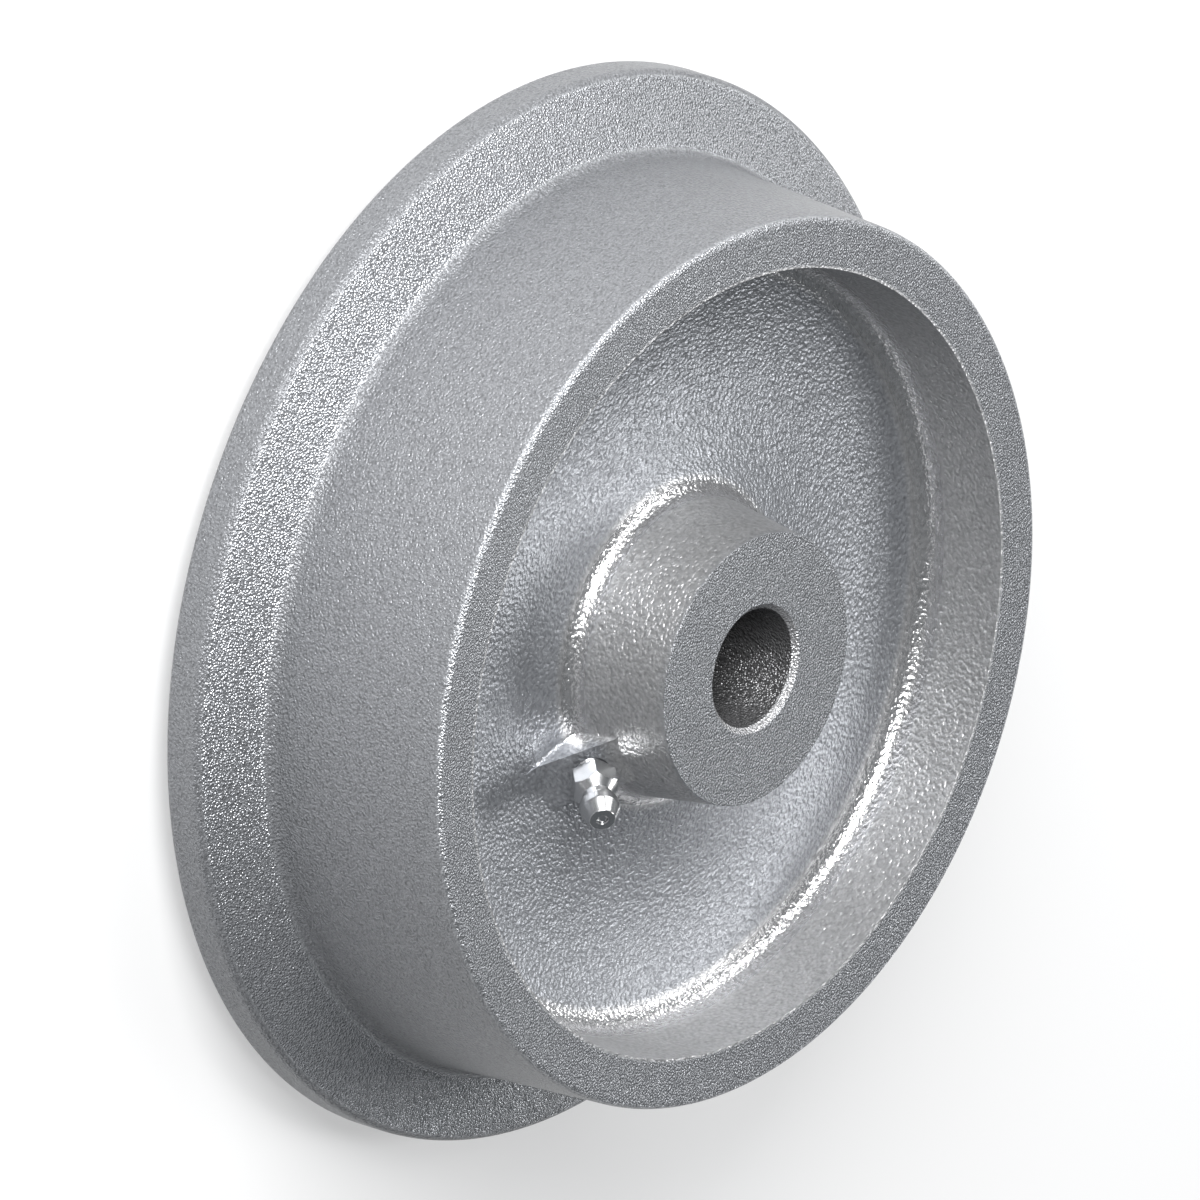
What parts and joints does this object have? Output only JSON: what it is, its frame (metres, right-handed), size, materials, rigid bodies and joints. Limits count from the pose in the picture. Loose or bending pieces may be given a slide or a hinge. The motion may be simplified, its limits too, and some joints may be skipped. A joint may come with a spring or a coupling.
{
  "type": "flanged track wheel",
  "caption": "Cast iron flanged track wheel with a dished web, a plain axle bore and a slanted grease nipple at the hub.",
  "frame": {"origin": "in the axle bore, on its axis, at half the hub's length", "axes": "+Z along the axle bore, out of the side that has the grease nipple; +X towards the nipple; the flange is on the -Z side"},
  "size_m": [0.18, 0.18, 0.054],
  "materials": {
    "cast_iron": "grey iron as cast, finely pebbled",
    "plated_steel": "bright zinc plate",
    "bearing_steel": "polished",
    "spring_steel": "drawn wire"
  },
  "bodies": {
    "wheel": {"wheel_casting": "cast_iron", "grease_nipple": "plated_steel", "check_spring": "spring_steel"},
    "ball": {"check_ball": "bearing_steel"}
  },
  "joints": [
    {"name": "check_ball_lift", "type": "slide", "parent": "wheel", "child": "ball", "axis": [-0.7071, 0, -0.7071], "range_m": [0, 0.0008], "stiffness_N_per_m": 200, "deforming": ["check_spring"]}
  ]
}
